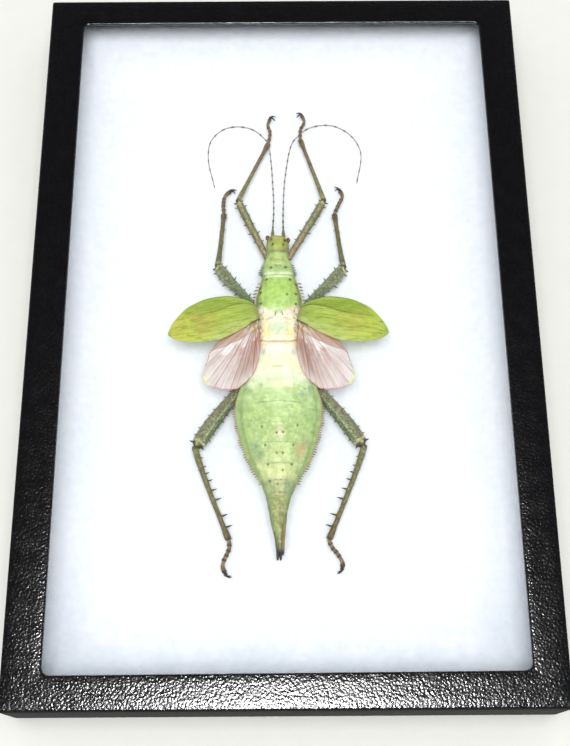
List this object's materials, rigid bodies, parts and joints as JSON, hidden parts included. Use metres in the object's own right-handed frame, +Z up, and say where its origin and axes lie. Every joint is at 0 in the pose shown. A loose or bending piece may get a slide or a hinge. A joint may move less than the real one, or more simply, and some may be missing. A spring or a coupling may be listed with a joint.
{
  "type": "framed giant stick insect specimen",
  "caption": "Green female jungle nymph stick insect, wings spread, mounted back up on white batting in a shallow black case with a glass lid.",
  "frame": {"origin": "centre of the case's underside, on the surface it lies on", "axes": "+Y along the insect from its tail to its head, +X to the insect's right with its back up, +Z up through the glass"},
  "size_m": [0.2074, 0.308, 0.03],
  "materials": {
    "card": "satin",
    "glass": "polished",
    "batting": "matte",
    "pin_steel": "polished",
    "head_shell": "satin",
    "thorax_shell": "satin",
    "metathorax_shell": "satin",
    "abdomen_shell": "satin",
    "ovipositor_shell": "satin",
    "leg_shell": "satin",
    "claw": "gloss",
    "eye": "gloss",
    "feeler": "satin",
    "fore_wing": "satin",
    "hind_wing": "satin"
  },
  "bodies": {
    "root": {"case_tray": "card", "case_lid": "card", "case_glass": "glass", "case_batting": "batting", "case_pin_left_rear": "pin_steel", "case_pin_left_front": "pin_steel", "case_pin_right_rear": "pin_steel", "case_pin_right_front": "pin_steel", "head": "head_shell", "eye_left": "eye", "eye_right": "eye", "pronotum": "thorax_shell", "mesothorax": "thorax_shell", "metathorax": "metathorax_shell", "feeler_left_base": "feeler", "feeler_left_near": "feeler", "feeler_left_far": "feeler", "feeler_right_base": "feeler", "feeler_right_near": "feeler", "feeler_right_far": "feeler", "leg_front_left_femur": "leg_shell", "leg_front_left_tibia": "leg_shell", "leg_front_left_tarsus": "leg_shell", "leg_front_left_claws": "claw", "leg_front_right_femur": "leg_shell", "leg_front_right_tibia": "leg_shell", "leg_front_right_tarsus": "leg_shell", "leg_front_right_claws": "claw", "leg_middle_left_femur": "leg_shell", "leg_middle_left_tibia": "leg_shell", "leg_middle_left_tarsus": "leg_shell", "leg_middle_left_claws": "claw", "leg_middle_right_femur": "leg_shell", "leg_middle_right_tibia": "leg_shell", "leg_middle_right_tarsus": "leg_shell", "leg_middle_right_claws": "claw", "leg_hind_left_femur": "leg_shell", "leg_hind_left_tibia": "leg_shell", "leg_hind_left_tarsus": "leg_shell", "leg_hind_left_claws": "claw", "leg_hind_right_femur": "leg_shell", "leg_hind_right_tibia": "leg_shell", "leg_hind_right_tarsus": "leg_shell", "leg_hind_right_claws": "claw", "abdomen_1": "abdomen_shell", "abdomen_2": "abdomen_shell", "abdomen_3": "abdomen_shell", "abdomen_4": "abdomen_shell", "abdomen_5": "abdomen_shell", "abdomen_6": "abdomen_shell", "abdomen_7": "abdomen_shell", "abdomen_8": "abdomen_shell", "abdomen_9": "abdomen_shell", "ovipositor_upper": "ovipositor_shell", "ovipositor_lower": "ovipositor_shell", "wing_fore_left": "fore_wing", "wing_hind_left": "hind_wing", "wing_fore_right": "fore_wing", "wing_hind_right": "hind_wing"}
  },
  "joints": []
}
